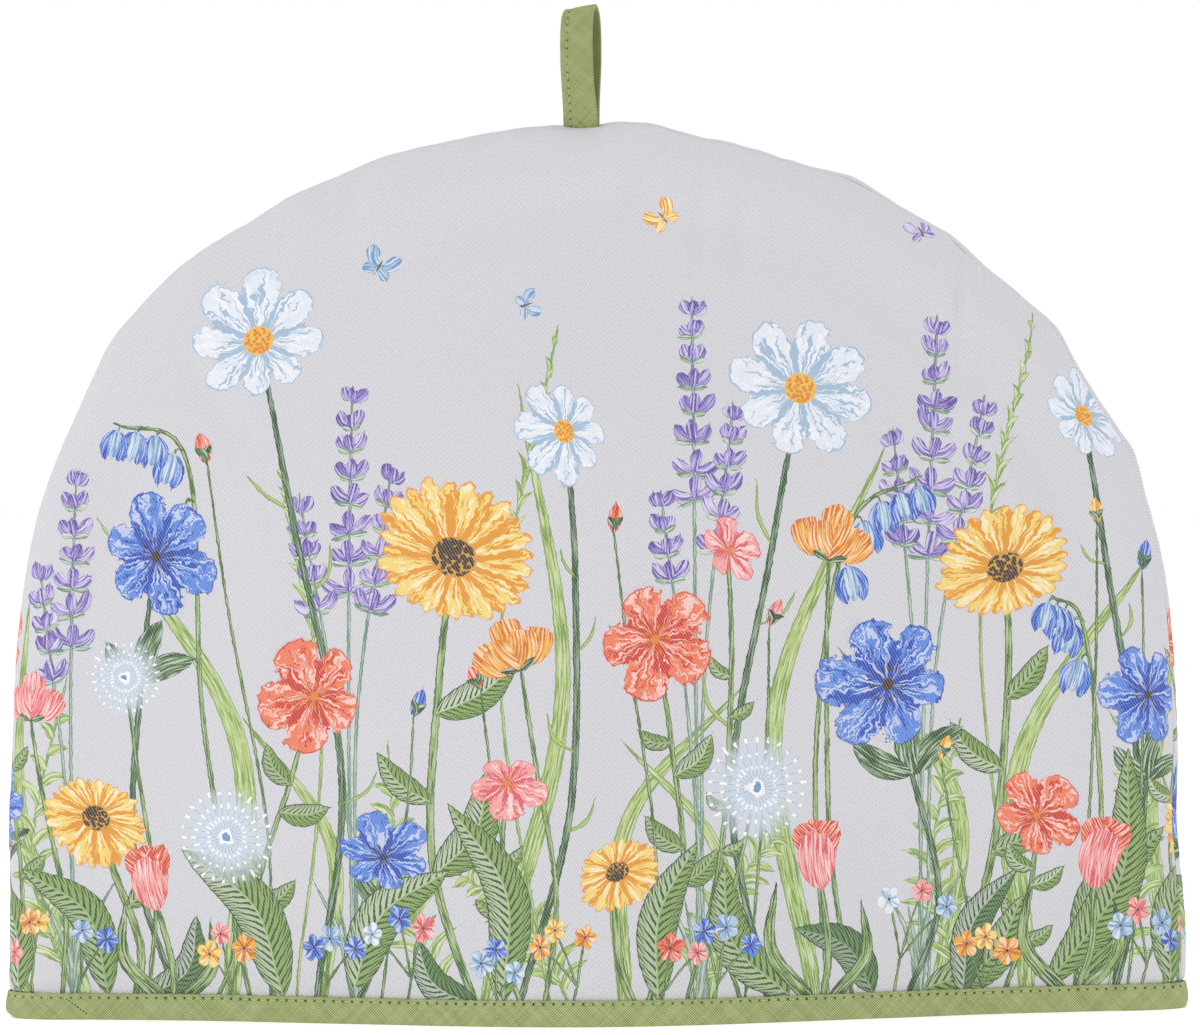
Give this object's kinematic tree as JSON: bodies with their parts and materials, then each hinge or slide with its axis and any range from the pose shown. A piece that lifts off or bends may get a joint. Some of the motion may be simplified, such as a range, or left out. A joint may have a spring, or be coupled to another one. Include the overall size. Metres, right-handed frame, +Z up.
{
  "type": "tea cosy",
  "caption": "Dome-shaped padded tea cosy of flower-printed cotton, with a green bias-bound hem and a tape hanging loop at the top.",
  "frame": {"origin": "on the surface that the hem stands on, under the middle of the hem", "axes": "+X along the hem to the right as seen from the front, -Y out of the front panel, +Z up to the loop"},
  "size_m": [0.3534, 0.0859, 0.3019],
  "materials": {
    "printed_cotton": "matte cotton twill with a printed flower meadow",
    "green_tape": "matte plain-weave cotton tape, cut on the bias"
  },
  "bodies": {
    "root": {"front_panel": "printed_cotton", "back_panel": "printed_cotton", "hem_binding": "green_tape", "top_loop": "green_tape"}
  },
  "joints": []
}
